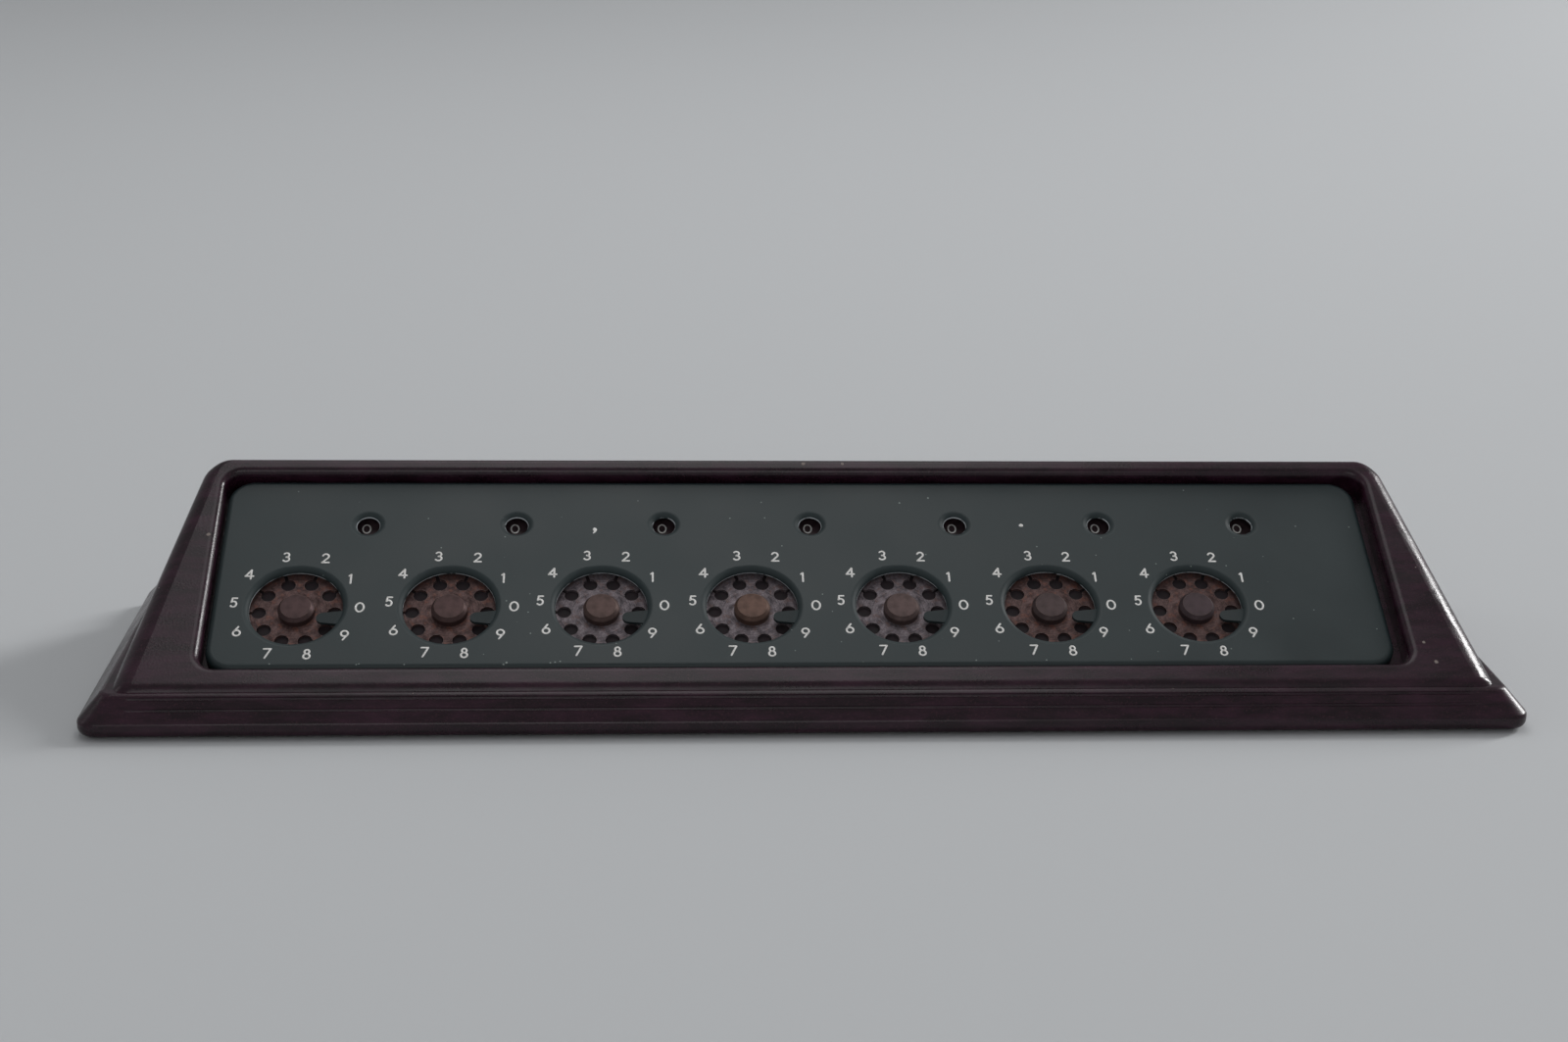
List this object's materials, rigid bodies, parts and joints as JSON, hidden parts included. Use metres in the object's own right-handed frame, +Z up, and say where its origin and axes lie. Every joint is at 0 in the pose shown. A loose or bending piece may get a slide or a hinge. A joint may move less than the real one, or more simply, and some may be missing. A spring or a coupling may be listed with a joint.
{
  "type": "adding machine",
  "caption": "Desk adding machine worked by a stylus: a long wedge-shaped moulded case with a sunk metal face plate, a row of notched dials and small round sight windows.",
  "frame": {"origin": "middle of the footprint, on the table under the felt feet", "axes": "+X to the right as the user sees it, +Y towards the high back edge, +Z up; the top slopes down towards -Y"},
  "size_m": [0.3404, 0.0902, 0.0462],
  "materials": {
    "phenolic_resin": "moulded, glossy, worn",
    "green_paint": "semi-matt enamel",
    "zinc_plated_steel": "plated",
    "black_paint": "matt",
    "felt": "felt",
    "bright_steel": "turned",
    "screw_steel": "turned",
    "brass": "stamped",
    "coppered_steel": "copper plated, worn and rusty",
    "zinc_dial": "zinc plated, dull",
    "worn_button": "turned, worn",
    "brass_button": "turned, tarnished",
    "numeral_enamel": "baked enamel",
    "spring_steel": "polished",
    "white_enamel": "satin"
  },
  "bodies": {
    "machine": {"case": "phenolic_resin", "face_plate": "green_paint", "mechanism_plate": "zinc_plated_steel", "bottom_cover": "black_paint", "felt_feet": "felt", "dial_pivots": "bright_steel", "numeral_pivots": "bright_steel", "spring_posts": "bright_steel", "spacer_posts": "bright_steel", "spacer_screws": "screw_steel", "plate_bushes": "brass", "plate_screws": "screw_steel", "cover_screws": "screw_steel", "detent_spring_1": "spring_steel", "detent_spring_2": "spring_steel", "detent_spring_3": "spring_steel", "detent_spring_4": "spring_steel", "detent_spring_5": "spring_steel", "detent_spring_6": "spring_steel", "detent_spring_7": "spring_steel"},
    "dial_1": {"dial_wheel_1": "coppered_steel", "hub_button_1": "worn_button", "drive_gear_1": "brass"},
    "numeral_1": {"numeral_wheel_1": "numeral_enamel", "numeral_gear_1": "brass"},
    "dial_2": {"dial_wheel_2": "coppered_steel", "hub_button_2": "worn_button", "drive_gear_2": "brass"},
    "numeral_2": {"numeral_wheel_2": "numeral_enamel", "numeral_gear_2": "brass"},
    "dial_3": {"dial_wheel_3": "zinc_dial", "hub_button_3": "brass_button", "drive_gear_3": "brass"},
    "numeral_3": {"numeral_wheel_3": "numeral_enamel", "numeral_gear_3": "brass"},
    "dial_4": {"dial_wheel_4": "zinc_dial", "hub_button_4": "brass_button", "drive_gear_4": "brass"},
    "numeral_4": {"numeral_wheel_4": "numeral_enamel", "numeral_gear_4": "brass"},
    "dial_5": {"dial_wheel_5": "zinc_dial", "hub_button_5": "brass_button", "drive_gear_5": "brass"},
    "numeral_5": {"numeral_wheel_5": "numeral_enamel", "numeral_gear_5": "brass"},
    "dial_6": {"dial_wheel_6": "coppered_steel", "hub_button_6": "worn_button", "drive_gear_6": "brass"},
    "numeral_6": {"numeral_wheel_6": "numeral_enamel", "numeral_gear_6": "brass"},
    "dial_7": {"dial_wheel_7": "coppered_steel", "hub_button_7": "worn_button", "drive_gear_7": "brass"},
    "numeral_7": {"numeral_wheel_7": "numeral_enamel", "numeral_gear_7": "brass"}
  },
  "joints": [
    {"name": "dial_1_turn", "type": "hinge", "parent": "machine", "child": "dial_1", "pos_m": [-0.1235, -0.01265, 0.01873], "axis": [0, -0.5, 0.866], "continuous": true},
    {"name": "numeral_1_turn", "type": "hinge", "parent": "machine", "child": "numeral_1", "pos_m": [-0.1082, 0.00178, 0.02573], "axis": [0, -0.5, 0.866], "continuous": true, "deforming": ["detent_spring_1"]},
    {"name": "dial_2_turn", "type": "hinge", "parent": "machine", "child": "dial_2", "pos_m": [-0.087, -0.01265, 0.01873], "axis": [0, -0.5, 0.866], "continuous": true},
    {"name": "numeral_2_turn", "type": "hinge", "parent": "machine", "child": "numeral_2", "pos_m": [-0.0717, 0.00178, 0.02573], "axis": [0, -0.5, 0.866], "continuous": true, "deforming": ["detent_spring_2"]},
    {"name": "dial_3_turn", "type": "hinge", "parent": "machine", "child": "dial_3", "pos_m": [-0.0505, -0.01265, 0.01873], "axis": [0, -0.5, 0.866], "continuous": true},
    {"name": "numeral_3_turn", "type": "hinge", "parent": "machine", "child": "numeral_3", "pos_m": [-0.0352, 0.00178, 0.02573], "axis": [0, -0.5, 0.866], "continuous": true, "deforming": ["detent_spring_3"]},
    {"name": "dial_4_turn", "type": "hinge", "parent": "machine", "child": "dial_4", "pos_m": [-0.014, -0.01265, 0.01873], "axis": [0, -0.5, 0.866], "continuous": true},
    {"name": "numeral_4_turn", "type": "hinge", "parent": "machine", "child": "numeral_4", "pos_m": [0.0013, 0.00178, 0.02573], "axis": [0, -0.5, 0.866], "continuous": true, "deforming": ["detent_spring_4"]},
    {"name": "dial_5_turn", "type": "hinge", "parent": "machine", "child": "dial_5", "pos_m": [0.0225, -0.01265, 0.01873], "axis": [0, -0.5, 0.866], "continuous": true},
    {"name": "numeral_5_turn", "type": "hinge", "parent": "machine", "child": "numeral_5", "pos_m": [0.0378, 0.00178, 0.02573], "axis": [0, -0.5, 0.866], "continuous": true, "deforming": ["detent_spring_5"]},
    {"name": "dial_6_turn", "type": "hinge", "parent": "machine", "child": "dial_6", "pos_m": [0.059, -0.01265, 0.01873], "axis": [0, -0.5, 0.866], "continuous": true},
    {"name": "numeral_6_turn", "type": "hinge", "parent": "machine", "child": "numeral_6", "pos_m": [0.0743, 0.00178, 0.02573], "axis": [0, -0.5, 0.866], "continuous": true, "deforming": ["detent_spring_6"]},
    {"name": "dial_7_turn", "type": "hinge", "parent": "machine", "child": "dial_7", "pos_m": [0.0955, -0.01265, 0.01873], "axis": [0, -0.5, 0.866], "continuous": true},
    {"name": "numeral_7_turn", "type": "hinge", "parent": "machine", "child": "numeral_7", "pos_m": [0.1108, 0.00178, 0.02573], "axis": [0, -0.5, 0.866], "continuous": true, "deforming": ["detent_spring_7"]}
  ],
  "couplings": [
    {"joint": "numeral_1_turn", "follows": "dial_1_turn", "ratio": -1},
    {"joint": "numeral_2_turn", "follows": "dial_2_turn", "ratio": -1},
    {"joint": "numeral_3_turn", "follows": "dial_3_turn", "ratio": -1},
    {"joint": "numeral_4_turn", "follows": "dial_4_turn", "ratio": -1},
    {"joint": "numeral_5_turn", "follows": "dial_5_turn", "ratio": -1},
    {"joint": "numeral_6_turn", "follows": "dial_6_turn", "ratio": -1},
    {"joint": "numeral_7_turn", "follows": "dial_7_turn", "ratio": -1}
  ]
}
